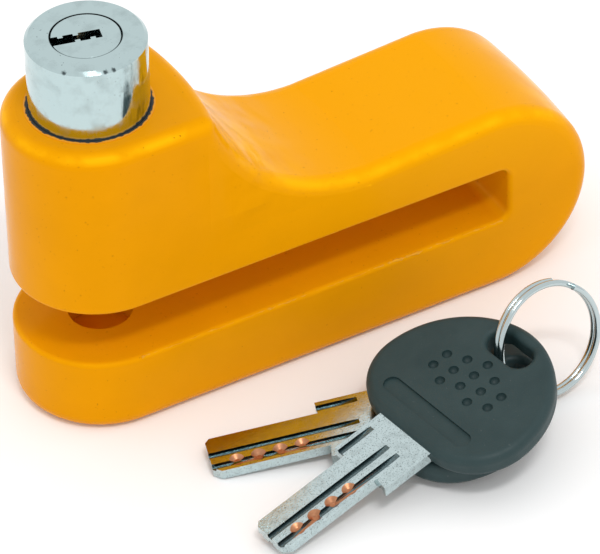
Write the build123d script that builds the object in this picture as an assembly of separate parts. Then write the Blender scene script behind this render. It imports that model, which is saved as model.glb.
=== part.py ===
from build123d import *
import os
from math import atan2, cos, pi, radians, sin, sqrt

# Motorcycle disc brake lock with its two dimple keys on a split ring, in millimetres.
# The lock stands on its flat base.  The origin is on the base, under the axis of the
# locking pin.  +Z is up along that axis and +X runs along the arm to its closed end.
# Moving pieces are drawn raised and unlocked: the plunger stands up out of its boss.

# ---- casting -----------------------------------------------------------------------
HALF_WIDTH = 15.0          # half the casting's width, and the radius of its round end
BOSS_TOP = 59.0            # height of the tall boss round the plunger
ARM_TOP = 37.5             # height of the long arm at its closed end
ARM_DIP = 36.0             # the arm's top falls gently to this height at the scoop
END_CENTRE_X = 70.6        # centre of the D-shaped end, which is as tall as the arm
CROWN_RADIUS = 160.0       # gentle crown of that end, seen from above
SLOT_FLOOR = 14.8          # the brake disc goes between these two faces
SLOT_CEILING = 25.5
SLOT_END_X = 72.3
SLOT_CORNER = 1.9
SCOOP_RADIUS = 30.0        # hollow between the boss and the arm
SCOOP_END_X = 46.4         # where the hollow runs out into the arm's top
CREST_X = 16.8             # front of the boss top on the centre line
CREST_RADIUS = 60.0        # the crest is a gentle arc, seen from above
EDGE_ROUND = 2.7
LIP_ROUND = 0.9

# ---- plunger -----------------------------------------------------------------------
TRAVEL = 13.8              # how far the plunger goes down to lock
SHELL_RADIUS = 10.2
SHELL_TOP = 73.0
SHELL_BOTTOM = 42.2
SHELL_CHAMFER = 0.6
PIN_CHAMFER = 1.0
RUNNING_GAP = 0.05         # radial clearance of sliding and turning fits
CAVITY_RADIUS = 8.4        # room in the shell for the cam, the pin's head and the spring
CAVITY_TOP = 53.05
PIN_RADIUS = 5.25          # locking pin
PIN_TIP = 26.0
HEAD_BOTTOM = 46.0
HEAD_TOP = 49.65
GROOVE_FLOOR = 47.3        # groove in the pin's head that guides the bolt
JAW_HOLE_RADIUS = 5.6      # blind hole in the lower jaw that takes the pin's tip
JAW_HOLE_DEPTH = 5.0
DOWEL_RADIUS = 0.75        # the two pins that hold the locking pin's head
DOWEL_Z = 47.9
DOWEL_INNER = 5.5
BORE_FLOOR = SHELL_BOTTOM - TRAVEL - 0.2

# ---- plug and tumblers -------------------------------------------------------------
PLUG_RADIUS = 6.0
PLUG_BOTTOM = 51.6
PLUG_FLANGE_RADIUS = 8.0
KEYWAY_ANGLE = -13.5       # direction of the keyway, seen from above
KEYWAY_END = 2.6           # the keyway runs from the plug's rim to this far past its axis
KEYWAY_DEPTH = 20.9
TUMBLER_COUNT = 4
TUMBLER_PITCH = 3.77
FIRST_TUMBLER = 4.1        # depth of the first tumbler under the plug's face
TUMBLER_RADIUS = 1.1
TUMBLER_ANGLE = KEYWAY_ANGLE + 90
TUMBLER_LEVELS = [SHELL_TOP - FIRST_TUMBLER - k * TUMBLER_PITCH for k in range(TUMBLER_COUNT)]
SHEAR_OUTER = PLUG_RADIUS + 2 * RUNNING_GAP     # where the driver pins start
DRIVER_LENGTH = 1.5
DRIVER_WIRE = 0.25
COVER_DEPTH = 0.9
COVER_OVERHANG = 0.5       # the cover is this much wider than a chamber, each side
LUG_RADIUS = 1.0           # pegs under the plug that turn the cam
LUG_ANGLES = (80, 140)
LUG_ORBIT = 6.4

# ---- bolt and cam ------------------------------------------------------------------
BOLT_STROKE = 2.2
BOLT_WIDTH = 5.0
BOLT_TOP = 49.6
BOLT_BOTTOM = 47.35
BOLT_TIP_X = 10.1
BOLT_TAIL_X = -3.5
BOLT_TIP_CHAMFER = 0.8
FOLLOWER_RADIUS = 0.9
FOLLOWER_X = 3.0           # where the follower stands with the bolt drawn in
CAM_RADIUS = 8.1
CAM_TURN = 90.0            # the key's turn between open and shut
POCKET_MARGIN = 0.35       # room round the bolt in the casting's two bolt pockets

# ---- limit pin ---------------------------------------------------------------------
LIMIT_ANGLE = 130.0
LIMIT_Z = 44.0
LIMIT_RADIUS = 1.0
LIMIT_TIP = 9.4            # distance of its inner end from the plunger's axis
LIMIT_END = 14.9           # its outer end lies just under the casting's side

# ---- seal and return spring --------------------------------------------------------
SEAL_RADIUS = 10.95
SEAL_HEIGHT = 1.0
SEAL_PROUD = 0.12
SPRING_WIRE = 0.8
SPRING_MEAN_RADIUS = 6.9
SPRING_TURNS = 3.6
WASHER_THICKNESS = 0.4

# ---- keys --------------------------------------------------------------------------
BLADE_THICKNESS = 2.0
BLADE_HALF_WIDTH = 3.9
BLADE_TIP = -30.6          # the key's own frame starts where the blade leaves the head
SHANK_HALF_WIDTH = 6.4
SHANK_END = -10.8
HEAD_THICKNESS = 4.4
HEAD_FRONT = -0.6          # straight front edge of the moulded head
HEAD_END = 28.2
HEAD_CORNER = 10.8         # radius of the head's two front corners
HEAD_HALF_WIDTH = 16.9
HEAD_FLANK_RADIUS = 18.2
HEAD_EDGE_ROUND = 1.5
DIMPLE_OFFSET = -2.1       # the row of dimples is off the blade's centre line
KEY_HOLE_X = 23.2
KEY_HOLE_HALF_LENGTH = 4.6
KEY_HOLE_HALF_WIDTH = 2.5
KEY_HOLE_FLARE = 1.1       # the hole's rims are rounded over by this much
KEYWAY_CLEARANCE = 0.12    # room between the blade and the keyway
GROOVE_DEPTH = 0.55        # guide grooves along both faces of the blade
GROOVE_HALF_WIDTH = 0.5    # at the floor of the groove; its walls lean out
GROOVE_LEAN = 0.12
GROOVE_END = -8.2          # where the cutter lifts out of the two long grooves
EDGE_GROOVE_OFFSET = 5.0   # short groove that starts at the shank's step
EDGE_GROOVE_END = -7.4
CUTTER_RADIUS = 13.0       # disc cutter that leaves the grooves' tapered ends
SECOND_GROOVE_OFFSET = 2.6
DIMPLE_RADIUS = 1.3
DIMPLE_FLOOR_RADIUS = 0.5
GRIP_BAR_X = 4.4
GRIP_BAR_LENGTH = 17.6     # between the centres of its round ends
GRIP_BAR_WIDTH = 3.2
GRIP_BAR_DEPTH = 0.45
GRIP_DOT_RADIUS = 0.9
GRIP_DOT_X = 13.5
GRIP_DOT_ALONG = 1.55
GRIP_DOT_ACROSS = 3.45

# Where each key lies: origin, yaw about Z, pitch of its head above its tip, roll.
KEY_1_PLACE = ((32.17, -48.78, 8.44), 9.85, 11.34, 2.28)
KEY_2_PLACE = ((33.20, -39.22, 4.34), -16.88, 5.46, 5.05)

# ---- split ring --------------------------------------------------------------------
RING_WIRE = 1.15
RING_TURNS = 1.95
RING_TURN_GAP = 0.02       # between the ring's two turns
RING_MEAN_RADIUS = 9.95
RING_CENTRE = (63.22, -42.47, 11.22)
RING_NORMAL = (-0.105, 0.954, -0.283)
RING_START = (0.587, 0.365, 0.722)     # points from the ring's centre to its split


def cylinder_z(radius, bottom, top, x=0.0, y=0.0):
    """An upright cylinder between two heights."""
    disc = Plane.XY.offset(bottom) * Pos(x, y) * Circle(radius)
    return extrude(disc, amount=top - bottom)


def block(x0, x1, y0, y1, z0, z1):
    """A box from its corner coordinates."""
    centre = Pos((x0 + x1) / 2, (y0 + y1) / 2, (z0 + z1) / 2)
    return centre * Box(x1 - x0, y1 - y0, z1 - z0)


def radial_cylinder(radius, angle, inner, outer, z):
    """A cylinder that points out from the plunger's axis, between two distances from it."""
    plane = Plane(origin=(0, 0, z), x_dir=(-sin(radians(angle)), cos(radians(angle)), 0),
                  z_dir=(cos(radians(angle)), sin(radians(angle)), 0))
    return extrude(plane.offset(inner) * Circle(radius), amount=outer - inner)


# ---- the casting -------------------------------------------------------------------

def arm_blank():
    """The long arm, with its tall D-shaped end crowned about a vertical axis."""
    radius = ARM_TOP / 2
    axis_x = END_CENTRE_X + radius - CROWN_RADIUS
    section = Polyline((axis_x, 0), (END_CENTRE_X, 0))
    section += RadiusArc((END_CENTRE_X, 0), (END_CENTRE_X, ARM_TOP), -radius)
    section += Polyline((END_CENTRE_X, ARM_TOP), (axis_x, ARM_TOP), (axis_x, 0))
    face = make_face(Plane.XZ * section)
    turned = revolve(face, Axis((axis_x, 0, 0), (0, 0, 1)), 360)
    slab = block(0, END_CENTRE_X + 2 * radius, -HALF_WIDTH, HALF_WIDTH, 0, ARM_TOP)
    return turned & slab


def scoop_cutter():
    """Hollow between boss and arm, and the arm's sloping top, turned about a far vertical axis."""
    centre_z = ARM_DIP + SCOOP_RADIUS
    axis_x = CREST_X - CREST_RADIUS
    top = BOSS_TOP + 1
    start_x = SCOOP_END_X - sqrt(SCOOP_RADIUS ** 2 - (centre_z - top) ** 2)
    far_x = END_CENTRE_X + ARM_TOP
    middle_angle = (pi + atan2(top - centre_z, start_x - SCOOP_END_X) % (2 * pi) + pi / 2) / 2
    middle = (SCOOP_END_X + SCOOP_RADIUS * cos(middle_angle), centre_z + SCOOP_RADIUS * sin(middle_angle))
    section = ThreePointArc((start_x, top), middle, (SCOOP_END_X, ARM_DIP))
    section += Polyline((SCOOP_END_X, ARM_DIP), (END_CENTRE_X, ARM_TOP), (far_x, ARM_TOP + 1), (far_x, top),
                        (start_x, top))
    face = make_face(Plane.XZ * section)
    return revolve(face, Axis((axis_x, 0, 0), (0, 0, 1)), 360)


def casting_blank():
    """Boss, scoop and arm as one rounded lump, before the slot and the bores."""
    lump = cylinder_z(HALF_WIDTH, 0, BOSS_TOP)
    lump += block(0, SCOOP_END_X + 2, -HALF_WIDTH, HALF_WIDTH, 0, BOSS_TOP)
    lump += arm_blank()
    lump -= scoop_cutter()
    return fillet([e for e in lump.edges() if not runs_smoothly(e)], EDGE_ROUND)


def runs_smoothly(edge):
    """True for an edge of the blank where two faces meet without a corner."""
    box = edge.bounding_box()
    upright = box.size.X < LIP_ROUND and box.size.Y < LIP_ROUND
    across = edge.geom_type == GeomType.CIRCLE and box.size.X < 2 * LIP_ROUND
    return upright or (across and box.max.X > SCOOP_END_X - LIP_ROUND)


def slot_cutter():
    """The disc slot, open at the round end and closed, with round corners, at the other."""
    slot = block(-2 * HALF_WIDTH, SLOT_END_X, -2 * HALF_WIDTH, 2 * HALF_WIDTH, SLOT_FLOOR, SLOT_CEILING)
    corners = [e for e in slot.edges().filter_by(Axis.Y) if e.center().X > 0]
    return fillet(corners, SLOT_CORNER)


def bolt_pocket(drop):
    """Room in the bore's wall for the thrown bolt, at a given drop of the plunger."""
    half = BOLT_WIDTH / 2 + POCKET_MARGIN
    far_x = BOLT_TIP_X + BOLT_STROKE + POCKET_MARGIN
    return block(0, far_x, -half, half, BOLT_BOTTOM - POCKET_MARGIN - drop, BOLT_TOP + POCKET_MARGIN - drop)


def seal_ring():
    """The wiper's section, also used to cut its seat."""
    bottom = BOSS_TOP + SEAL_PROUD - SEAL_HEIGHT
    inner = SHELL_RADIUS + RUNNING_GAP
    return cylinder_z(SEAL_RADIUS, bottom, BOSS_TOP + SEAL_PROUD) - cylinder_z(inner, bottom, BOSS_TOP + 1)


def body_casting():
    casting = casting_blank() - slot_cutter()
    lips = [e for e in casting.edges() if is_slot_lip(e)]
    casting = fillet(lips, LIP_ROUND)
    casting -= cylinder_z(SHELL_RADIUS + RUNNING_GAP, BORE_FLOOR, BOSS_TOP + 1)
    casting -= cylinder_z(PIN_RADIUS + RUNNING_GAP, SLOT_CEILING - 1, BORE_FLOOR + 1)
    hole = cylinder_z(JAW_HOLE_RADIUS, SLOT_FLOOR - JAW_HOLE_DEPTH, SLOT_FLOOR + 1)
    casting -= hole
    casting -= bolt_pocket(0) + bolt_pocket(TRAVEL)
    casting -= radial_cylinder(LIMIT_RADIUS, LIMIT_ANGLE, LIMIT_TIP, HALF_WIDTH + 1, LIMIT_Z)
    return casting - seal_ring()


def is_slot_lip(edge):
    """Outer edges of the slot's floor and ceiling, and of its closed end."""
    box = edge.bounding_box()
    inside = box.min.Z > SLOT_FLOOR - 0.01 and box.max.Z < SLOT_CEILING + 0.01
    flat_lip = inside and box.size.Z < 0.01 and box.size.X > SLOT_CORNER
    side = abs(abs(edge.center().Y) - HALF_WIDTH) < 0.01
    return flat_lip or (inside and side)


def limit_pin():
    pin = radial_cylinder(LIMIT_RADIUS, LIMIT_ANGLE, LIMIT_TIP, LIMIT_END, LIMIT_Z)
    return chamfer(pin.edges(), LIMIT_RADIUS / 5)


def spring_washer():
    top = BORE_FLOOR + WASHER_THICKNESS
    return cylinder_z(SPRING_MEAN_RADIUS + 1, BORE_FLOOR, top) - cylinder_z(SPRING_MEAN_RADIUS - 1, BORE_FLOOR, top)


def coil(radius, wire, turns, length):
    """A round-wire spring along +Z from the origin, over the given length."""
    height = length - wire
    path = Helix(pitch=height / turns, height=height, radius=radius)
    section = Plane(origin=path @ 0, z_dir=path % 0) * Circle(wire / 2)
    return Pos(0, 0, wire / 2) * sweep(section, path=path, is_frenet=True)


def return_spring():
    bottom = BORE_FLOOR + WASHER_THICKNESS
    return Pos(0, 0, bottom) * coil(SPRING_MEAN_RADIUS, SPRING_WIRE, SPRING_TURNS, HEAD_BOTTOM - bottom)


# ---- the plunger -------------------------------------------------------------------

def turned(shape, angle):
    return Rot(0, 0, angle) * shape


def chamber_cover():
    """The strip that closes the tumbler chambers, flush with the plunger's side."""
    half_width = TUMBLER_RADIUS + COVER_OVERHANG
    z0 = TUMBLER_LEVELS[-1] - 2 * TUMBLER_RADIUS
    z1 = TUMBLER_LEVELS[0] + 2 * TUMBLER_RADIUS
    strip = block(SHELL_RADIUS - COVER_DEPTH, SHELL_RADIUS + 1, -half_width, half_width, z0, z1)
    return turned(strip, TUMBLER_ANGLE) & cylinder_z(SHELL_RADIUS, z0 - 1, z1 + 1)


def limit_groove():
    """The upright groove that the limit pin runs in: its ends are the plunger's stops."""
    low = LIMIT_Z - LIMIT_RADIUS
    high = LIMIT_Z + TRAVEL + LIMIT_RADIUS
    half = LIMIT_RADIUS + RUNNING_GAP
    groove = block(LIMIT_TIP - RUNNING_GAP, SHELL_RADIUS + 1, -half, half, low, high)
    return turned(groove, LIMIT_ANGLE)


def plunger_shell():
    shell = cylinder_z(SHELL_RADIUS, SHELL_BOTTOM, SHELL_TOP)
    shell = chamfer(shell.edges().sort_by(Axis.Z)[-1], SHELL_CHAMFER)
    shell = chamfer(shell.edges().sort_by(Axis.Z)[0], SHELL_CHAMFER / 2)
    shell -= cylinder_z(PLUG_RADIUS + RUNNING_GAP, CAVITY_TOP - 1, SHELL_TOP + 1)
    shell -= cylinder_z(CAVITY_RADIUS, SHELL_BOTTOM - 1, CAVITY_TOP)
    half = BOLT_WIDTH / 2 + RUNNING_GAP
    shell -= block(0, 2 * SHELL_RADIUS, -half, half, BOLT_BOTTOM - RUNNING_GAP, BOLT_TOP + RUNNING_GAP)
    for z in TUMBLER_LEVELS:
        shell -= radial_cylinder(TUMBLER_RADIUS + RUNNING_GAP, TUMBLER_ANGLE, 0, SHELL_RADIUS - COVER_DEPTH, z)
    shell -= chamber_cover()
    shell -= limit_groove()
    for dowel in head_dowels():
        shell -= dowel
    return shell


def head_dowels():
    """Two cross pins that hold the locking pin's head in the plunger."""
    outer = SHELL_RADIUS - 3 * RUNNING_GAP
    return [radial_cylinder(DOWEL_RADIUS, angle, DOWEL_INNER, outer, DOWEL_Z) for angle in (90, 270)]


def locking_pin():
    shaft = cylinder_z(PIN_RADIUS, PIN_TIP, HEAD_BOTTOM + 1)
    shaft = chamfer(shaft.edges().sort_by(Axis.Z)[0], PIN_CHAMFER)
    head = cylinder_z(CAVITY_RADIUS - RUNNING_GAP, HEAD_BOTTOM, HEAD_TOP)
    half = BOLT_WIDTH / 2 + RUNNING_GAP
    head -= block(BOLT_TAIL_X - 0.3, 2 * CAVITY_RADIUS, -half, half, GROOVE_FLOOR, HEAD_TOP + 1)
    pin = shaft + head
    for dowel in head_dowels():
        pin -= dowel
    return pin


def driver_pins():
    return [radial_cylinder(TUMBLER_RADIUS, TUMBLER_ANGLE, SHEAR_OUTER, SHEAR_OUTER + DRIVER_LENGTH, z)
            for z in TUMBLER_LEVELS]


def driver_springs():
    """One small spring behind each driver pin, held by the chamber cover."""
    inner = SHEAR_OUTER + DRIVER_LENGTH
    length = SHELL_RADIUS - COVER_DEPTH - inner
    springs = []
    for z in TUMBLER_LEVELS:
        plane = Plane(origin=(inner * cos(radians(TUMBLER_ANGLE)), inner * sin(radians(TUMBLER_ANGLE)), z),
                      z_dir=(cos(radians(TUMBLER_ANGLE)), sin(radians(TUMBLER_ANGLE)), 0))
        springs.append(plane * coil(TUMBLER_RADIUS - DRIVER_WIRE, DRIVER_WIRE, 2.5, length))
    return springs


# ---- the plug ----------------------------------------------------------------------

def keyway():
    """The keyway, open at the plug's rim, with one ridge for each groove of the blade."""
    half = BLADE_THICKNESS / 2 + KEYWAY_CLEARANCE
    blade_centre = KEYWAY_END - 2 * KEYWAY_CLEARANCE - BLADE_HALF_WIDTH
    ridge_half = GROOVE_HALF_WIDTH - KEYWAY_CLEARANCE / 2
    z0 = SHELL_TOP - KEYWAY_DEPTH
    z1 = SHELL_TOP + 1
    slot = block(-PLUG_RADIUS - 1, KEYWAY_END, -half, half, z0, z1)
    for side, offsets in ((1, (0, -SECOND_GROOVE_OFFSET)), (-1, (0, SECOND_GROOVE_OFFSET))):
        for offset in offsets:
            x = blade_centre + offset
            tip = side * (half - GROOVE_DEPTH)
            slot -= block(x - ridge_half, x + ridge_half, min(tip, side * half), max(tip, side * half), z0, z1)
    return turned(slot, KEYWAY_ANGLE)


def cam_lugs():
    """Two pegs under the plug that turn the cam."""
    return [cylinder_z(LUG_RADIUS, PLUG_BOTTOM - 1.2, PLUG_BOTTOM + 0.5,
                       LUG_ORBIT * cos(radians(angle)), LUG_ORBIT * sin(radians(angle)))
            for angle in LUG_ANGLES]


def key_plug():
    plug = cylinder_z(PLUG_RADIUS, PLUG_BOTTOM, SHELL_TOP)
    plug = chamfer(plug.edges().sort_by(Axis.Z)[-1], 0.25)
    plug += cylinder_z(PLUG_FLANGE_RADIUS, PLUG_BOTTOM, CAVITY_TOP - RUNNING_GAP)
    plug -= keyway()
    for z in TUMBLER_LEVELS:
        plug -= radial_cylinder(TUMBLER_RADIUS + RUNNING_GAP, TUMBLER_ANGLE, 0, PLUG_RADIUS + 1, z)
    for lug in cam_lugs():
        plug += lug
    return plug


def key_pins():
    """Tumbler pins in the plug, drawn lifted to the shear line as the right key lifts them."""
    outer = PLUG_RADIUS - 0.12
    pins = []
    for z in TUMBLER_LEVELS:
        pin = radial_cylinder(TUMBLER_RADIUS, TUMBLER_ANGLE, 0.6, outer, z)
        direction = Vector(cos(radians(TUMBLER_ANGLE)), sin(radians(TUMBLER_ANGLE)), 0)
        inner_rim = pin.edges().sort_by(lambda e: e.center().dot(direction))[0]
        pins.append(chamfer(inner_rim, 0.5))
    return pins


def scroll_cam():
    """Disc with a spiral slot: its even lead moves the bolt in step with the plug."""
    bottom = BOLT_TOP + 0.15
    disc = cylinder_z(CAM_RADIUS, bottom, PLUG_BOTTOM)
    disc -= extrude(Plane.XY.offset(bottom - 1) * spiral_slot(), amount=PLUG_BOTTOM - bottom + 2)
    for lug in cam_lugs():
        disc -= lug
    return disc


def spiral_slot():
    """The follower's slot: its radius grows evenly from the open end to the shut end."""
    half_width = FOLLOWER_RADIUS + 2 * RUNNING_GAP
    outer = Spline(*[spiral_point(k / 12, half_width) for k in range(13)])
    inner = Spline(*[spiral_point(k / 12, -half_width) for k in range(13)])
    start = ThreePointArc(inner @ 0, spiral_point(0, 0, -half_width), outer @ 0)
    end = ThreePointArc(inner @ 1, spiral_point(1, 0, half_width), outer @ 1)
    return make_face([outer, end, inner, start])


def spiral_point(share, outward, onward=0.0):
    """A point of the slot, a share of the way along, moved outward or onward along the slot."""
    radius = FOLLOWER_X + share * BOLT_STROKE
    angle = -radians(share * CAM_TURN) - onward / radius
    return ((radius + outward) * cos(angle), (radius + outward) * sin(angle))


# ---- the bolt ----------------------------------------------------------------------

def follower_pin():
    return cylinder_z(FOLLOWER_RADIUS, BOLT_BOTTOM + 0.4, PLUG_BOTTOM - 0.3, FOLLOWER_X)


def latch_bolt():
    half = BOLT_WIDTH / 2
    bolt = block(BOLT_TAIL_X, BOLT_TIP_X, -half, half, BOLT_BOTTOM, BOLT_TOP)
    tip = [e for e in bolt.edges().filter_by(Axis.Z) if e.center().X > 0]
    return chamfer(tip, BOLT_TIP_CHAMFER) - follower_pin()


# ---- the keys ----------------------------------------------------------------------

def placed(shape, place):
    """Lay a shape from the key's own frame (+X towards the head, +Z up) where the key lies."""
    origin, yaw, pitch, roll = place
    return Pos(*origin) * Rot(0, 0, yaw) * Rot(0, -pitch, 0) * Rot(roll, 0, 0) * shape


def key_blade():
    """Flat nickel blade: chamfered tip, wide shank, grooves and dimples on both faces."""
    half = BLADE_HALF_WIDTH
    outline = Polyline((BLADE_TIP, -half + 1.2), (BLADE_TIP + 1.4, -half), (SHANK_END + 0.4, -half),
                       (SHANK_END + 0.4, -half - 0.3), (SHANK_END, -SHANK_HALF_WIDTH), (6, -SHANK_HALF_WIDTH),
                       (6, SHANK_HALF_WIDTH), (SHANK_END, SHANK_HALF_WIDTH), (SHANK_END, half),
                       (BLADE_TIP + 0.8, half), (BLADE_TIP, half - 0.8), (BLADE_TIP, -half + 1.2))
    blade = extrude(make_face(outline), amount=BLADE_THICKNESS / 2, both=True)
    for face_up in (1, -1):
        blade -= blade_cuts(face_up)
    return blade


def blade_cuts(face_up):
    """Grooves and tumbler dimples of one face; the other face is the same key turned over."""
    surface = BLADE_THICKNESS / 2
    cuts = groove_cut(0, BLADE_TIP - 1, GROOVE_END)
    cuts += groove_cut(-SECOND_GROOVE_OFFSET, BLADE_TIP - 1, GROOVE_END)
    cuts += groove_cut(EDGE_GROOVE_OFFSET, SHANK_END - 1, EDGE_GROOVE_END)
    for k in range(TUMBLER_COUNT):
        x = SHANK_END - FIRST_TUMBLER - k * TUMBLER_PITCH
        depth = 0.5 + 0.15 * (k % 3)
        cone = Cone(DIMPLE_FLOOR_RADIUS, DIMPLE_RADIUS, depth, align=(Align.CENTER, Align.CENTER, Align.MIN))
        cuts += Pos(x, DIMPLE_OFFSET, surface - depth) * cone
    return cuts if face_up > 0 else Rot(180, 0, 0) * cuts


def groove_cut(offset, start, end):
    """A groove with leaning walls, whose far end tapers out where the disc cutter lifts."""
    floor_z = BLADE_THICKNESS / 2 - GROOVE_DEPTH
    open_z = floor_z + 2 * GROOVE_DEPTH
    open_half = GROOVE_HALF_WIDTH + 2 * GROOVE_LEAN
    corners = ((offset - GROOVE_HALF_WIDTH, floor_z), (offset + GROOVE_HALF_WIDTH, floor_z),
               (offset + open_half, open_z), (offset - open_half, open_z))
    straight = extrude(Plane.YZ.offset(start) * make_face(Polyline(*corners, close=True)), amount=end - start)
    rim = [(y, z - floor_z - CUTTER_RADIUS) for y, z in corners]
    plane = Plane(origin=(end, 0, floor_z + CUTTER_RADIUS), x_dir=(0, 1, 0), z_dir=(1, 0, 0))
    axis = Axis((end, 0, floor_z + CUTTER_RADIUS), (0, 1, 0))
    return straight + revolve(plane * make_face(Polyline(*rim, close=True)), axis, 360)


def head_outline():
    """Rounded shield: straight front, round front corners, arched flanks and a round nose."""
    corner_x = HEAD_FRONT + HEAD_CORNER
    corner_y = HEAD_HALF_WIDTH - HEAD_CORNER
    flank_y = HEAD_HALF_WIDTH - HEAD_FLANK_RADIUS
    # The nose arc is centred on the key's axis, reaches HEAD_END and is tangent to the flanks.
    reach = HEAD_FLANK_RADIUS - HEAD_END
    nose_x = (corner_x ** 2 + flank_y ** 2 - reach ** 2) / (2 * (corner_x + reach))
    nose_radius = HEAD_END - nose_x
    lean = atan2(-flank_y, nose_x - corner_x)
    meet = (nose_x + nose_radius * cos(lean), nose_radius * sin(lean))
    half_lean = (lean + pi / 2) / 2
    flank_middle = (corner_x + HEAD_FLANK_RADIUS * cos(half_lean), flank_y + HEAD_FLANK_RADIUS * sin(half_lean))
    corner_middle = (corner_x - HEAD_CORNER * sqrt(0.5), corner_y + HEAD_CORNER * sqrt(0.5))
    upper = Line((HEAD_FRONT, 0), (HEAD_FRONT, corner_y))
    upper += ThreePointArc((HEAD_FRONT, corner_y), corner_middle, (corner_x, HEAD_HALF_WIDTH))
    upper += ThreePointArc((corner_x, HEAD_HALF_WIDTH), flank_middle, meet)
    upper += ThreePointArc(meet, (nose_x + nose_radius * cos(lean / 2), nose_radius * sin(lean / 2)),
                           (HEAD_END, 0))
    return upper + mirror(upper, Plane.XZ)


def key_head():
    """Moulded grip with a recessed bar, a patch of dots and a flared hole for the ring."""
    half = HEAD_THICKNESS / 2
    head = extrude(make_face(head_outline()), amount=half, both=True)
    head = fillet([e for e in head.edges() if abs(e.center().Z) > half - 0.01], HEAD_EDGE_ROUND)
    slot = Pos(KEY_HOLE_X, 0) * SlotCenterToCenter(2 * (KEY_HOLE_HALF_LENGTH - KEY_HOLE_HALF_WIDTH),
                                                   2 * KEY_HOLE_HALF_WIDTH, rotation=90)
    head -= extrude(slot, amount=HEAD_THICKNESS, both=True)
    rims = [e for e in head.edges() if abs(abs(e.center().Z) - half) < 0.01 and in_key_hole(e)]
    head = fillet(rims, KEY_HOLE_FLARE)
    for face_up in (1, -1):
        head -= grip_cuts(face_up)
    return head - key_blade()


def in_key_hole(edge):
    middle = edge.center()
    near_x = abs(middle.X - KEY_HOLE_X) < KEY_HOLE_HALF_WIDTH + KEY_HOLE_FLARE / 2
    return near_x and abs(middle.Y) < KEY_HOLE_HALF_LENGTH + KEY_HOLE_FLARE / 2


def grip_cuts(face_up):
    """The recessed bar and the thirteen dots of one face."""
    surface = HEAD_THICKNESS / 2
    slot = SlotCenterToCenter(GRIP_BAR_LENGTH, GRIP_BAR_WIDTH, rotation=90)
    cuts = extrude(Plane.XY.offset(surface - GRIP_BAR_DEPTH) * Pos(GRIP_BAR_X, 0) * slot, amount=1)
    for x, y in grip_dots():
        cuts += Pos(x, y, surface) * Sphere(GRIP_DOT_RADIUS)
    return cuts if face_up > 0 else Rot(180, 0, 0) * cuts


def grip_dots():
    """Five staggered rows of dots, 2-3-3-3-2, the middle one set forward."""
    rows = ((-2, (-1, 1)), (-1, (-2, 0, 2)), (0, (-1, 1, 3)), (1, (-2, 0, 2)), (2, (-1, 1)))
    return [(GRIP_DOT_X + along * GRIP_DOT_ALONG, across * GRIP_DOT_ACROSS)
            for across, alongs in rows for along in alongs]


def split_ring():
    """Two close turns of round wire."""
    height = RING_TURNS * RING_WIRE
    path = Helix(pitch=RING_WIRE, height=height, radius=RING_MEAN_RADIUS)
    section = Plane(origin=path @ 0, z_dir=path % 0) * Circle((RING_WIRE - RING_TURN_GAP) / 2)
    ring = Pos(0, 0, -height / 2) * sweep(section, path=path, is_frenet=True)
    return Plane(origin=RING_CENTRE, x_dir=RING_START, z_dir=RING_NORMAL) * ring


def write(name, shapes):
    """One STEP file per node; a list is a group of separate solids."""
    if isinstance(shapes, list):
        shapes = Compound(children=[s.solid() for s in shapes])
    else:
        shapes = shapes.solid()
    export_step(shapes, f"parts/{name}.step")


os.makedirs("parts", exist_ok=True)
write("body_casting", body_casting())
write("dust_seal", seal_ring())
write("limit_pin", limit_pin())
write("spring_washer", spring_washer())
write("return_spring", return_spring())
write("plunger_shell", plunger_shell())
write("locking_pin", locking_pin())
write("head_dowels", head_dowels())
write("chamber_cover", chamber_cover())
write("driver_pins", driver_pins())
write("driver_springs", driver_springs())
write("key_plug", key_plug())
write("key_pins", key_pins())
write("scroll_cam", scroll_cam())
write("latch_bolt", latch_bolt())
write("follower_pin", follower_pin())
write("split_ring", split_ring())
write("key_1_blade", placed(key_blade(), KEY_1_PLACE))
write("key_1_head", placed(key_head(), KEY_1_PLACE))
write("key_2_blade", placed(key_blade(), KEY_2_PLACE))
write("key_2_head", placed(key_head(), KEY_2_PLACE))
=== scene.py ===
from math import cos, pi, radians, sin

import bpy
from mathutils import Matrix, Vector, noise


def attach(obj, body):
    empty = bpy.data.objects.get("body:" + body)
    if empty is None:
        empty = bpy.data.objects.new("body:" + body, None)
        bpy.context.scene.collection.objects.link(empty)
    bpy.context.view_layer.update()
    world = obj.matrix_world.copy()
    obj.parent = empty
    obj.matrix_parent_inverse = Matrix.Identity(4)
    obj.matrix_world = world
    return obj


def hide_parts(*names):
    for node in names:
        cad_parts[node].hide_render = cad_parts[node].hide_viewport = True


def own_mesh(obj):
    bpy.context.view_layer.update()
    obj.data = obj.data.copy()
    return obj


# Looks for the disc brake lock: a powder-coated casting, a chromed plunger with its keyed plug,
# and two nickel keys with black grips on a split ring.  Lengths are in metres.

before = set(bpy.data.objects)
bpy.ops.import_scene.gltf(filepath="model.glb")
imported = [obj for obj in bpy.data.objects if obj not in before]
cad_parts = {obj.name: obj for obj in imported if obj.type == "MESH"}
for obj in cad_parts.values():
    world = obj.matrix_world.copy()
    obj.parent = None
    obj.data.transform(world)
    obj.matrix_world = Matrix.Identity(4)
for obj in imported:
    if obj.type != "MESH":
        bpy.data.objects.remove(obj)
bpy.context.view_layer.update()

MM = 0.001

# ---- camera: where the photograph was taken from ------------------------------------
AZIMUTH = radians(28.79)       # the camera looks this far round from +Y towards +X
ELEVATION = radians(39.85)
ROLL = radians(-1.32)
DISTANCE = 909.6 * MM
TARGET = Vector((24.06, -27.05, 30.71)) * MM
LENS = 327.4                   # millimetres, on the sensor below
SENSOR_WIDTH = 36
CLIP_END = 10

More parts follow.
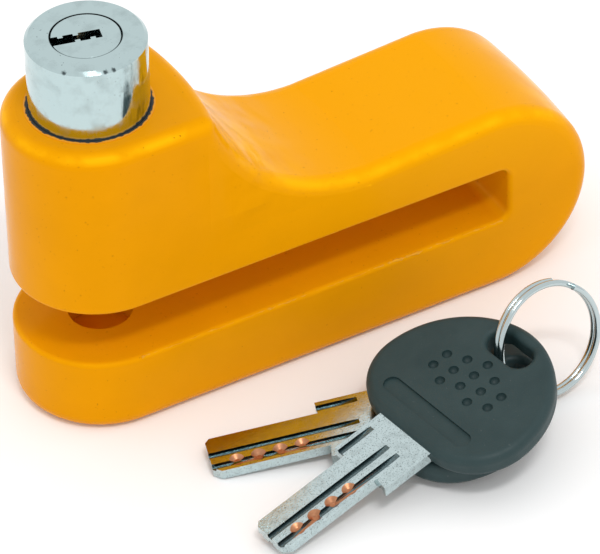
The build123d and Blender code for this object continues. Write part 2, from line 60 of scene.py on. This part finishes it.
# ---- sizes repeated from the CAD source ----------------------------------------------
SHELL_RADIUS = 10.2 * MM
SHELL_TOP = 73.0 * MM
PLUG_RADIUS = 6.0 * MM
HALF_WIDTH = 15.0 * MM
SLOT_FLOOR = 14.8 * MM
SLOT_END_X = 72.3 * MM
LIP_ROUND = 0.9 * MM
SPRING_BOTTOM = 28.6 * MM
SPRING_TOP = 46.0 * MM
SPRING_WIRE = 0.8 * MM
SPRING_RADIUS = 6.9 * MM
SPRING_TURNS = 3.6
SEAL_EDGE = 10.62 * MM         # where the coat's overspray starts on the seal, as a radius

# Each key's origin in millimetres, then its yaw, pitch and roll in degrees.
KEY_PLACES = {
    "key_1": ((32.17, -48.78, 8.44), 9.85, 11.34, 2.28),
    "key_2": ((33.20, -39.22, 4.34), -16.88, 5.46, 5.05),
}
DIMPLE_OFFSET = -2.1 * MM
FIRST_DIMPLE = -14.9 * MM
DIMPLE_PITCH = 3.77 * MM
DIMPLE_COUNT = 4
DIMPLE_RADIUS = 1.3 * MM
BLADE_HALF_THICKNESS = 1.0 * MM
GROOVE_OFFSETS = (0.0, -2.6 * MM, 5.0 * MM)
GROOVE_REACH = 0.75 * MM
GROOVE_DEPTH = 0.55 * MM
GROOVE_FAR_END = -3.0 * MM
CUT_SKIN = 0.02 * MM           # a face less than this below the blade's surface isn't cut

# ---- drawing of the Blender pieces ---------------------------------------------------
COIL_STEPS = 150
COIL_SIDES = 10
FLASH_STEP = 0.22 * MM
FLASH_SIDES = 6
FLASH_END_GAP = 1 * MM
FLASH_SINK = 0.3 * LIP_ROUND   # how far inside the lip's sharp corner the bead runs
FLASH_THINNEST = 0.04 * MM
FLASH_SWELL = 0.34 * MM
FLASH_WANDER = 0.25 * MM

# ---- floor and sky -------------------------------------------------------------------
FLOOR_HALF = 3.0
FLOOR_DROP = 0.02 * MM         # the floor lies this far under the base, so that the faces don't coincide
SKY_STRENGTH = 0.95


# ---- node helpers ----------------------------------------------------------------------

class Look:
    """A material under construction: its node tree, and short names for the usual nodes."""

    def __init__(self, name, base, roughness, metallic=0.0):
        self.material = bpy.data.materials.new(name)
        self.material.use_nodes = True
        self.tree = self.material.node_tree
        self.shader = self.tree.nodes["Principled BSDF"]
        self.shader.inputs["Metallic"].default_value = metallic
        self.set("Base Color", (*base, 1))
        self.set("Roughness", roughness)
        self.place = self.node("ShaderNodeTexCoord").outputs["Object"]
        self.height = None

    def node(self, kind):
        """A new node of the given kind."""
        return self.tree.nodes.new(kind)

    def feed(self, socket, value):
        """Link an output into a socket, or set the socket to a constant."""
        if isinstance(value, bpy.types.NodeSocket):
            self.tree.links.new(value, socket)
        else:
            socket.default_value = value

    def set(self, name, value):
        """Link or set one input of the surface shader."""
        self.feed(self.shader.inputs[name], value)

    def noise(self, size, detail=3.0, roughness=0.5, stretch=(1, 1, 1)):
        """Cloudy noise whose features are about the given size in metres."""
        stretched = self.node("ShaderNodeVectorMath")
        stretched.operation = "MULTIPLY"
        self.feed(stretched.inputs[0], self.place)
        stretched.inputs[1].default_value = stretch
        texture = self.node("ShaderNodeTexNoise")
        self.feed(texture.inputs["Vector"], stretched.outputs[0])
        texture.inputs["Scale"].default_value = 1 / size
        texture.inputs["Detail"].default_value = detail
        texture.inputs["Roughness"].default_value = roughness
        return texture.outputs["Fac"]

    def remap(self, value, low, high, to_low=0.0, to_high=1.0):
        """Value from low..high mapped, and clamped, to to_low..to_high."""
        ranged = self.node("ShaderNodeMapRange")
        self.feed(ranged.inputs["Value"], value)
        limits = {"From Min": low, "From Max": high, "To Min": to_low, "To Max": to_high}
        for name, number in limits.items():
            ranged.inputs[name].default_value = number
        return ranged.outputs["Result"]

    def math(self, operation, a, b=0.0):
        """Result of one maths node."""
        done = self.node("ShaderNodeMath")
        done.operation = operation
        self.feed(done.inputs[0], a)
        self.feed(done.inputs[1], b)
        return done.outputs[0]

    def mix(self, share, first, second):
        """Colour between first, at a share of 0, and second, at 1."""
        mixed = self.node("ShaderNodeMix")
        mixed.data_type = "RGBA"
        self.feed(mixed.inputs[0], share)
        for socket, colour in ((mixed.inputs[6], first), (mixed.inputs[7], second)):
            self.feed(socket, colour if isinstance(colour, bpy.types.NodeSocket) else (*colour, 1))
        return mixed.outputs[2]

    def axes(self):
        """X, Y and Z of the point being shaded, in the shared frame."""
        split = self.node("ShaderNodeSeparateXYZ")
        self.feed(split.inputs[0], self.place)
        return split.outputs

    def radius(self):
        """Distance from the plunger's axis."""
        x, y, _ = self.axes()
        squares = self.math("ADD", self.math("MULTIPLY", x, x), self.math("MULTIPLY", y, y))
        return self.math("SQRT", squares)

    def bump(self, height, depth):
        """Adds relief of the given depth in metres under what is there already."""
        relief = self.node("ShaderNodeBump")
        relief.inputs["Strength"].default_value = 1.0
        relief.inputs["Distance"].default_value = depth
        self.feed(relief.inputs["Height"], height)
        if self.height is not None:
            self.feed(relief.inputs["Normal"], self.height)
        self.height = relief.outputs["Normal"]
        self.set("Normal", self.height)


# ---- materials ---------------------------------------------------------------------------

ORANGE = (0.775, 0.305, 0.001)
LIT_ORANGE = (0.85, 0.355, 0.001)
HIGHLIGHT_ORANGE = (0.93, 0.435, 0.003)
FLASH_ORANGE = (0.80, 0.36, 0.02)
SPECK_BROWN = (0.5, 0.17, 0.004)
CHROME_TONE = (0.50, 0.625, 0.635)
GRIME_AND_DARK_REFLECTION = (0.03, 0.045, 0.05)
RED_BRASS = (0.46, 0.20, 0.085)
BRIGHT_BRASS = (0.60, 0.30, 0.17)
DULL_BRASS = (0.36, 0.15, 0.07)
GRIP_BLACK = (0.016, 0.036, 0.038)
GRIP_DARKER = (0.014, 0.036, 0.038)
GRIP_LIGHTER = (0.021, 0.046, 0.048)
GRIP_DUST = (0.06, 0.08, 0.08)
RUBBER_BLACK = (0.012, 0.016, 0.018)
FLOOR_WHITE = (0.97, 0.97, 0.97)

# Dark nicks on the plunger's chamfer: directions seen from above, in degrees from +X.
NICK_ANGLES = (-139, -99, -91)
# Direction of the painted dark reflection on the plunger's side, in radians from +X.
DARK_REFLECTION_ANGLE = radians(-62)


def scaled(colour, share):
    """The colour made darker, to the given share of its brightness."""
    return tuple(share * part for part in colour)


def powder_coat():
    """Thick satin orange coat: orange peel, dust specks, a painted highlight on rounded top edges, and
    painted light on the arm.
    """
    look = Look("powder_coat", ORANGE, 0.3)
    cloud = look.noise(9 * MM, 4)
    speck = look.remap(look.noise(0.5 * MM, 2), 0.71, 0.76)
    colour = look.mix(look.remap(cloud, 0.3, 0.7), scaled(ORANGE, 0.95), ORANGE)
    x, _, z = look.axes()
    # painted light: the upper part of the arm is coloured lighter
    on_arm = look.math("MULTIPLY", look.remap(z, 20 * MM, 38 * MM), look.remap(x, 10 * MM, 40 * MM))
    colour = look.mix(on_arm, colour, LIT_ORANGE)
    # painted highlight: lighter orange on the rounded top edges
    colour = look.mix(painted_edge_highlight(look), colour, HIGHLIGHT_ORANGE)
    look.set("Base Color", look.mix(speck, colour, SPECK_BROWN))
    look.set("Roughness", look.remap(look.noise(4 * MM, 5), 0.3, 0.7, 0.12, 0.24))
    look.set("Specular IOR Level", 0.07)
    look.set("Specular Tint", (1.0, 0.62, 0.03, 1))
    look.bump(look.noise(1.1 * MM, 2), 0.010 * MM)
    look.bump(hand_finish(look, x, z), 0.5 * MM)
    return look.material


def painted_edge_highlight(look):
    """Share of painted highlight: on rounded top edges and in the hollow, in uneven patches."""
    split = look.node("ShaderNodeSeparateXYZ")
    look.feed(split.inputs[0], look.node("ShaderNodeNewGeometry").outputs["Normal"])
    upward = split.outputs[2]
    band = look.math("MULTIPLY", look.remap(upward, 0.3, 0.62), look.remap(upward, 0.72, 0.97, 1, 0))
    patchy = look.math("MULTIPLY", band, look.remap(look.noise(5 * MM, 3), 0.38, 0.62, 0.25, 1.0))
    height = look.axes()[2]
    return look.math("MULTIPLY", patchy, look.remap(height, 28 * MM, 33 * MM, 0.3, 1.0))


def hand_finish(look, x, z):
    """Uneven linishing: shallow facets in the hollow by the boss, fading out along the arm."""
    past_boss = look.remap(x, 14 * MM, 18 * MM)
    before_arm = look.remap(x, 30 * MM, 44 * MM, 1, 0.12)
    hollow = look.math("MULTIPLY", past_boss, before_arm)
    raised = look.math("MULTIPLY", hollow, look.remap(z, 34 * MM, 38 * MM))
    facets = look.noise(4.5 * MM, 1, 0.4, stretch=(1, 0.55, 1))
    gentle = look.noise(15 * MM, 2)
    return look.math("ADD", look.math("MULTIPLY", facets, raised), look.math("MULTIPLY", gentle, 0.35))


def coat_flash():
    """The same coat over the rough cast seam."""
    look = Look("coat_flash", FLASH_ORANGE, 0.4)
    look.set("Specular Tint", (1.0, 0.7, 0.2, 1))
    look.bump(look.noise(0.4 * MM, 4), 0.1 * MM)
    return look.material


def chrome():
    """Worn chrome: fine upright draw lines, smudges, pits, nicks, grime round the plug, and a painted dark
    reflection down the right-hand side.
    """
    look = Look("chrome", CHROME_TONE, 0.1, metallic=1.0)
    smudge = look.noise(3.5 * MM, 5, 0.6)
    lines = look.noise(0.5 * MM, 3, 0.6, stretch=(1, 1, 0.06))
    pit = look.remap(look.noise(0.45 * MM, 2), 0.73, 0.76)
    ring = look.radius()
    off_seam = look.math("ABSOLUTE", look.math("SUBTRACT", ring, PLUG_RADIUS))
    seam = look.remap(off_seam, 0.07 * MM, 0.16 * MM, 1, 0)
    clean = look.mix(look.remap(smudge, 0.5, 0.75), CHROME_TONE, scaled(CHROME_TONE, 0.8))
    # pits, the plug's seam and nicks are real marks; the band down the side is a painted dark reflection
    dark = look.math("MAXIMUM", look.math("MAXIMUM", pit, seam), dark_reflection_band(look))
    for angle in NICK_ANGLES:
        dark = look.math("MAXIMUM", dark, nick(look, angle))
    look.set("Base Color", look.mix(dark, clean, GRIME_AND_DARK_REFLECTION))
    streaks = look.remap(lines, 0.3, 0.7, 0.04, 0.12)
    look.set("Roughness", look.math("ADD", streaks, look.remap(smudge, 0.45, 0.75, 0.0, 0.22)))
    look.bump(lines, 0.006 * MM)
    return look.material


def nick(look, angle):
    """A ragged dent on the rim at the given angle."""
    reach = SHELL_RADIUS - 0.2 * MM
    centre = (reach * cos(radians(angle)), reach * sin(radians(angle)), SHELL_TOP - 0.35 * MM)
    apart = look.node("ShaderNodeVectorMath")
    apart.operation = "DISTANCE"
    look.feed(apart.inputs[0], look.place)
    apart.inputs[1].default_value = centre
    uneven = look.remap(look.noise(0.4 * MM, 2), 0, 1, -0.3 * MM, 0.3 * MM)
    ragged = look.math("ADD", apart.outputs["Value"], uneven)
    return look.remap(ragged, 0.2 * MM, 0.5 * MM, 0.9, 0)


def dark_reflection_band(look):
    """A speckled painted dark reflection: a band down the plunger's right-hand side, below its rim."""
    x, y, z = look.axes()
    along_x = look.math("MULTIPLY", x, cos(DARK_REFLECTION_ANGLE))
    along_y = look.math("MULTIPLY", y, sin(DARK_REFLECTION_ANGLE))
    across = look.math("ADD", along_x, along_y)
    band = look.remap(across, SHELL_RADIUS * 0.955, SHELL_RADIUS, 0, 1)
    low = look.math("MULTIPLY", band, look.remap(z, SHELL_TOP - 4 * MM, SHELL_TOP - 2 * MM, 1, 0))
    speckle = look.noise(0.8 * MM, 5, 0.7, stretch=(1, 1, 0.3))
    return look.math("MULTIPLY", low, look.remap(speckle, 0.45, 0.7, 0.0, 0.75))


def satin_nickel(name, base, grain):
    """Nickel plate over a stamped, slightly pitted blank."""
    look = Look(name, base, 0.26, metallic=1.0)
    cloud = look.noise(1.6 * MM, 6, 0.7)
    fleck = look.remap(look.noise(0.24 * MM, 2, 0.6), 0.57, 0.66)
    worn = look.mix(look.remap(cloud, 0.45, 0.7), base, scaled(base, 0.8))
    look.set("Base Color", look.mix(fleck, worn, scaled(base, 0.45)))
    look.set("Roughness", look.remap(cloud, 0.3, 0.75, 0.08, 0.2))
    look.bump(look.noise(0.35 * MM, 3, 0.65), grain)
    return look.material


def bare_brass():
    """Red brass where the dimples are cut through the plating."""
    look = Look("bare_brass", RED_BRASS, 0.38, metallic=1.0)
    look.set("Base Color", look.mix(look.noise(0.6 * MM, 2), BRIGHT_BRASS, DULL_BRASS))
    look.bump(look.noise(0.2 * MM, 2), 0.02 * MM)
    return look.material


def grip_plastic():
    """Soft black moulding with a fine eroded texture and a little dust."""
    look = Look("grip_plastic", GRIP_BLACK, 0.5)
    dust = look.remap(look.noise(0.6 * MM, 3), 0.70, 0.80)
    shade = look.mix(look.remap(look.noise(7 * MM, 4), 0.3, 0.7), GRIP_DARKER, GRIP_LIGHTER)
    look.set("Base Color", look.mix(dust, shade, GRIP_DUST))
    look.set("Roughness", look.remap(look.noise(2 * MM, 4), 0.3, 0.7, 0.45, 0.6))
    look.set("Specular IOR Level", 0.35)
    look.bump(look.noise(0.28 * MM, 2), 0.03 * MM)
    return look.material


def black_rubber():
    """Black rubber, its outer edge ragged with overspray from the coat."""
    look = Look("black_rubber", RUBBER_BLACK, 0.6)
    ragged = look.remap(look.noise(1.1 * MM, 4, 0.7), 0.3, 0.7, -0.22 * MM, 0.22 * MM)
    edge = look.math("ADD", look.radius(), ragged)
    sprayed = look.remap(edge, SEAL_EDGE, SEAL_EDGE + 0.08 * MM)
    look.set("Base Color", look.mix(sprayed, RUBBER_BLACK, ORANGE))
    look.bump(look.noise(0.3 * MM, 3), 0.06 * MM)
    return look.material


def plain_steel(name, base, roughness):
    """Uncoated steel with uneven gloss and fine upright lines."""
    look = Look(name, base, roughness, metallic=1.0)
    uneven = look.noise(1.5 * MM, 4)
    look.set("Roughness", look.remap(uneven, 0.3, 0.7, roughness * 0.7, roughness * 1.4))
    look.bump(look.noise(0.3 * MM, 3, 0.5, stretch=(1, 1, 0.1)), 0.01 * MM)
    return look.material


COAT = powder_coat()
CHROME = chrome()
NICKEL = satin_nickel("key_nickel", (0.56, 0.67, 0.68), 0.012 * MM)
# painted shade: a dark nickel standing in for the shade in the keys' grooves
GROOVE_SHADE = satin_nickel("groove_shade_nickel", (0.13, 0.18, 0.19), 0.03 * MM)
BRASS = bare_brass()
GRIP = grip_plastic()
STEEL = plain_steel("ground_steel", (0.42, 0.46, 0.47), 0.25)
SPRING = plain_steel("spring_wire", (0.3, 0.32, 0.33), 0.3)
FINISHES = {
    "body_casting": COAT,
    "dust_seal": black_rubber(),
    "plunger_shell": CHROME,
    "chamber_cover": CHROME,
    "key_plug": CHROME,
    "split_ring": plain_steel("ring_wire", (0.50, 0.58, 0.59), 0.12),
    "key_1_blade": NICKEL,
    "key_2_blade": NICKEL,
    "key_1_head": GRIP,
    "key_2_head": GRIP,
    "driver_pins": BRASS,
    "key_pins": BRASS,
    "driver_springs": SPRING,
    "return_spring": SPRING,
    "spring_washer": SPRING,
}

for name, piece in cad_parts.items():
    piece.data.materials.clear()
    piece.data.materials.append(FINISHES.get(name, STEEL))


# ---- bare brass in the keys' dimples, painted shade in their milled grooves ----------------

def key_matrix(place):
    """Where the key's own frame, +X towards its head, lies in the shared frame."""
    origin, yaw, pitch, roll = place
    turn = (Matrix.Rotation(radians(yaw), 4, "Z") @ Matrix.Rotation(-radians(pitch), 4, "Y")
            @ Matrix.Rotation(radians(roll), 4, "X"))
    return Matrix.Translation(Vector(origin) * MM) @ turn


def in_dimple(point):
    """True for a point of the key's frame on the cone of one of the dimples of either face."""
    side = 1 if point.z > 0 else -1
    depth = BLADE_HALF_THICKNESS - side * point.z
    if depth < CUT_SKIN:
        return False
    for k in range(DIMPLE_COUNT):
        across = side * point.y - DIMPLE_OFFSET
        along = point.x - (FIRST_DIMPLE - k * DIMPLE_PITCH)
        if (along ** 2 + across ** 2) ** 0.5 < DIMPLE_RADIUS:
            return True
    return False


def in_groove(point):
    """True for a point of the key's frame inside one of the long guide grooves."""
    side = 1 if point.z > 0 else -1
    depth = BLADE_HALF_THICKNESS - side * point.z
    across = side * point.y
    near = any(abs(across - middle) < GROOVE_REACH for middle in GROOVE_OFFSETS)
    return near and CUT_SKIN < depth < GROOVE_DEPTH + CUT_SKIN and point.x < GROOVE_FAR_END


for key, place in KEY_PLACES.items():
    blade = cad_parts[key + "_blade"].data
    blade.materials.append(BRASS)
    blade.materials.append(GROOVE_SHADE)
    to_key = key_matrix(place).inverted()
    for face in blade.polygons:
        centre = to_key @ face.center
        if in_dimple(centre):
            face.material_index = 1
        # groove faces take the painted shade
        elif in_groove(centre):
            face.material_index = 2


# ---- the return spring, drawn as a fixed coil in place of the CAD part --------------------------

def tube_faces(rings, sides):
    """Quads that join each ring of a tube's corners to the next."""
    faces = []
    for k in range(1, rings):
        for corner in range(sides):
            other = (corner + 1) % sides
            faces.append(((k - 1) * sides + corner, k * sides + corner, k * sides + other,
                          (k - 1) * sides + other))
    return faces


def tube_piece(name, points, faces, material):
    """A smooth-shaded mesh object with one material."""
    mesh = bpy.data.meshes.new(name)
    mesh.from_pydata(points, [], faces)
    for face in mesh.polygons:
        face.use_smooth = True
    mesh.materials.append(material)
    piece = bpy.data.objects.new(name, mesh)
    bpy.context.scene.collection.objects.link(piece)
    return piece


def coil_spring(name):
    """Round wire wound up a helix between the washer and the locking pin's head."""
    wire = SPRING_WIRE / 2
    climb = SPRING_TOP - SPRING_BOTTOM - SPRING_WIRE
    points = []
    for k in range(COIL_STEPS + 1):
        around = 2 * pi * SPRING_TURNS * k / COIL_STEPS
        middle = SPRING_BOTTOM + wire + climb * k / COIL_STEPS
        for corner in range(COIL_SIDES):
            angle = 2 * pi * corner / COIL_SIDES
            reach = SPRING_RADIUS + wire * cos(angle)
            points.append((reach * cos(around), reach * sin(around), middle + wire * sin(angle)))
    faces = tube_faces(COIL_STEPS + 1, COIL_SIDES)
    faces.append(tuple(range(COIL_SIDES)))
    faces.append(tuple(COIL_STEPS * COIL_SIDES + corner for corner in reversed(range(COIL_SIDES))))
    return tube_piece(name, points, faces, SPRING)


coil = coil_spring("coil_spring")
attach(coil, "lock_body")
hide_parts("return_spring")
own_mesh(coil)


# ---- rough flash along the slot's lips ---------------------------------------------------------

def flash_line(name, side, seed):
    """A thin, broken, crusty bead where the two halves of the die met, along one lower lip of the slot."""
    count = int((SLOT_END_X - FLASH_END_GAP) / FLASH_STEP)
    points = []
    for k in range(count):
        x = k * FLASH_STEP
        coarse = noise.noise(Vector((x / (3.1 * MM), seed, 0)))
        fine = noise.noise(Vector((x / (0.6 * MM), seed, 5)))
        size = FLASH_THINNEST + FLASH_SWELL * max(0.0, coarse + 0.6 * fine)
        shift = FLASH_WANDER * noise.noise(Vector((x / (1.3 * MM), seed, 9)))
        for corner in range(FLASH_SIDES):
            angle = 2 * pi * corner / FLASH_SIDES
            reach = min(HALF_WIDTH - FLASH_SINK + shift + size * cos(angle), HALF_WIDTH)
            points.append((x, side * reach, SLOT_FLOOR - FLASH_SINK + size * sin(angle)))
    bead = tube_piece(name, points, tube_faces(count, FLASH_SIDES), FLASH)
    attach(bead, "lock_body")


FLASH = coat_flash()
flash_line("flash_front_low", side=-1, seed=1.7)
flash_line("flash_back_low", side=1, seed=4.3)


# ---- floor, light and camera ----------------------------------------------------------------------

def plain_floor():
    """Matt white with no reflection."""
    look = Look("pale_floor", FLOOR_WHITE, 0.9)
    look.set("Specular IOR Level", 0.0)
    return look.material


def floor():
    """A square of floor, which isn't part of the object."""
    half = FLOOR_HALF
    corners = [(-half, -half, 0), (half, -half, 0), (half, half, 0), (-half, half, 0)]
    mesh = bpy.data.meshes.new("floor")
    mesh.from_pydata(corners, [], [(0, 1, 2, 3)])
    mesh.materials.append(plain_floor())
    plane = bpy.data.objects.new("floor", mesh)
    plane.location.z = -FLOOR_DROP
    bpy.context.scene.collection.objects.link(plane)


def softbox(name, azimuth, elevation, distance, size, power):
    """A rectangular light aimed at the object, placed by the direction it shines from, in degrees."""
    light = bpy.data.lights.new(name, "AREA")
    light.shape = "RECTANGLE"
    light.size = size[0]
    light.size_y = size[1]
    light.energy = power
    lamp = bpy.data.objects.new(name, light)
    a = radians(azimuth)
    e = radians(elevation)
    back = Vector((-sin(a) * cos(e), -cos(a) * cos(e), sin(e)))
    lamp.location = TARGET + back * distance
    lamp.rotation_euler = (-back).to_track_quat("-Z", "Y").to_euler()
    bpy.context.scene.collection.objects.link(lamp)


def sky():
    """Even white light from all round."""
    world = bpy.data.worlds.new("studio")
    world.use_nodes = True
    background = world.node_tree.nodes["Background"]
    background.inputs["Color"].default_value = (1.0, 1.0, 1.0, 1)
    background.inputs["Strength"].default_value = SKY_STRENGTH
    bpy.context.scene.world = world


def camera():
    """The photograph's own viewpoint, with its slight roll."""
    ahead = Vector((sin(AZIMUTH) * cos(ELEVATION), cos(AZIMUTH) * cos(ELEVATION), -sin(ELEVATION)))
    level = Vector((cos(AZIMUTH), -sin(AZIMUTH), 0))
    above = level.cross(ahead)
    right = level * cos(ROLL) + above * sin(ROLL)
    up = above * cos(ROLL) - level * sin(ROLL)
    data = bpy.data.cameras.new("camera")
    data.lens = LENS
    data.sensor_width = SENSOR_WIDTH
    data.clip_end = CLIP_END
    rig = bpy.data.objects.new("camera", data)
    turn = Matrix((right, up, -ahead)).transposed().to_4x4()
    rig.matrix_world = Matrix.Translation(TARGET - ahead * DISTANCE) @ turn
    bpy.context.scene.collection.objects.link(rig)
    bpy.context.scene.camera = rig


floor()
softbox("key_light", 10, 62, 1.1, (0.3, 0.12), 3.2)
softbox("back_light", 150, 48, 1.2, (0.6, 0.25), 0.4)
sky()
camera()
bpy.context.scene.view_settings.view_transform = "Standard"
